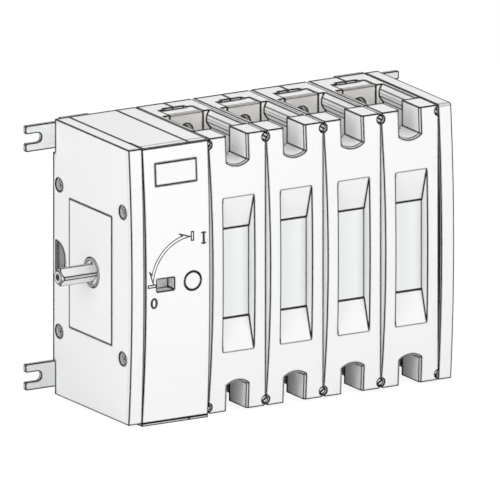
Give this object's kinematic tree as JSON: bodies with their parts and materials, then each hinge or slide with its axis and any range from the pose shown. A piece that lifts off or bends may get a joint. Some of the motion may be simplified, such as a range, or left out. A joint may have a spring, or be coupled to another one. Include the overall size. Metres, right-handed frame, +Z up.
{
  "type": "switch disconnector",
  "caption": "Modular switch disconnector with a side operating shaft, a position window, bowed pole casings with drilled terminals in notched chambers, and slotted feet.",
  "frame": {"origin": "middle of the underside of the whole outline, with the shaft and the feet counted", "axes": "+X to the right along the row of poles, +Y to the back where the feet are, +Z up; the front faces -Y"},
  "size_m": [0.427, 0.152, 0.28],
  "materials": {
    "pole_casing": "fine moulded grain",
    "mechanism_casing": "fine moulded grain",
    "front_panel": "fine moulded grain",
    "blank_plate": "smooth satin",
    "collar_moulding": "smooth satin",
    "window": "smooth, slightly milky",
    "indicator": "printed mark",
    "rotor_moulding": "moulded thermoset",
    "zinc_steel": "bright zinc plating",
    "spring_steel": "oiled",
    "silvered_copper": "silver plated"
  },
  "bodies": {
    "casing": {"pole_1_front_cover": "pole_casing", "pole_1_left_body": "pole_casing", "pole_1_right_body": "pole_casing", "pole_1_window": "window", "pole_1_upper_terminal": "silvered_copper", "pole_1_lower_terminal": "silvered_copper", "pole_2_front_cover": "pole_casing", "pole_2_left_body": "pole_casing", "pole_2_right_body": "pole_casing", "pole_2_window": "window", "pole_2_upper_terminal": "silvered_copper", "pole_2_lower_terminal": "silvered_copper", "pole_3_front_cover": "pole_casing", "pole_3_left_body": "pole_casing", "pole_3_right_body": "pole_casing", "pole_3_window": "window", "pole_3_upper_terminal": "silvered_copper", "pole_3_lower_terminal": "silvered_copper", "pole_4_front_cover": "pole_casing", "pole_4_left_body": "pole_casing", "pole_4_right_body": "pole_casing", "pole_4_window": "window", "pole_4_upper_terminal": "silvered_copper", "pole_4_lower_terminal": "silvered_copper", "left_cover": "mechanism_casing", "mechanism_shell_left": "mechanism_casing", "mechanism_shell_right": "mechanism_casing", "right_end_cover": "mechanism_casing", "front_panel": "front_panel", "side_label_plate": "blank_plate", "front_label_plate": "blank_plate", "shaft_collar": "collar_moulding", "shaft_hole_plug": "front_panel", "mechanism_frame": "zinc_steel", "terminal_nuts": "zinc_steel", "arc_plates": "spring_steel", "pole_clips": "zinc_steel", "tie_rods": "zinc_steel", "tie_rod_nuts": "zinc_steel", "mounting_feet": "zinc_steel", "foot_screws": "zinc_steel"},
    "shaft_group": {"operating_shaft": "zinc_steel", "shaft_bush": "collar_moulding", "drive_crank": "zinc_steel", "shaft_bevel_gear": "zinc_steel"},
    "contact_group": {"pole_1_rotor": "rotor_moulding", "pole_1_blades": "silvered_copper", "pole_2_rotor": "rotor_moulding", "pole_2_blades": "silvered_copper", "pole_3_rotor": "rotor_moulding", "pole_3_blades": "silvered_copper", "pole_4_rotor": "rotor_moulding", "pole_4_blades": "silvered_copper"},
    "front_hub_group": {"front_drive_hub": "zinc_steel", "position_indicator": "indicator"},
    "spring_link_group": {"spring_rod": "zinc_steel", "snap_spring": "spring_steel"},
    "spring_seat_group": {"spring_seat": "zinc_steel"}
  },
  "joints": [
    {"name": "operating_shaft_turn", "type": "hinge", "parent": "casing", "child": "shaft_group", "pos_m": [-0.16, 0.001, 0.1415], "axis": [-1, 0, 0], "range_deg": [0, 90]},
    {"name": "contact_shaft_turn", "type": "hinge", "parent": "casing", "child": "contact_group", "pos_m": [-0.0855, 0.001, 0.1415], "axis": [-1, 0, 0], "range_deg": [0, 90]},
    {"name": "front_hub_turn", "type": "hinge", "parent": "casing", "child": "front_hub_group", "pos_m": [-0.1061, -0.04, 0.1415], "axis": [0, 1, 0], "range_deg": [0, 90]},
    {"name": "spring_link_swing", "type": "hinge", "parent": "shaft_group", "child": "spring_link_group", "pos_m": [-0.1352, 0.01373, 0.12877], "axis": [-1, 0, 0], "range_deg": [-111.48, 0], "deforming": ["snap_spring"]},
    {"name": "spring_seat_swivel", "type": "hinge", "parent": "casing", "child": "spring_seat_group", "pos_m": [-0.152, 0.001, 0.0615], "axis": [-1, 0, 0], "range_deg": [-21.48, 0]}
  ],
  "couplings": [
    {"joint": "contact_shaft_turn", "follows": "operating_shaft_turn", "ratio": 1},
    {"joint": "front_hub_turn", "follows": "operating_shaft_turn", "ratio": 1},
    {"joint": "spring_link_swing", "follows": "operating_shaft_turn", "ratio": -1.2381},
    {"joint": "spring_seat_swivel", "follows": "operating_shaft_turn", "ratio": -0.23808}
  ]
}
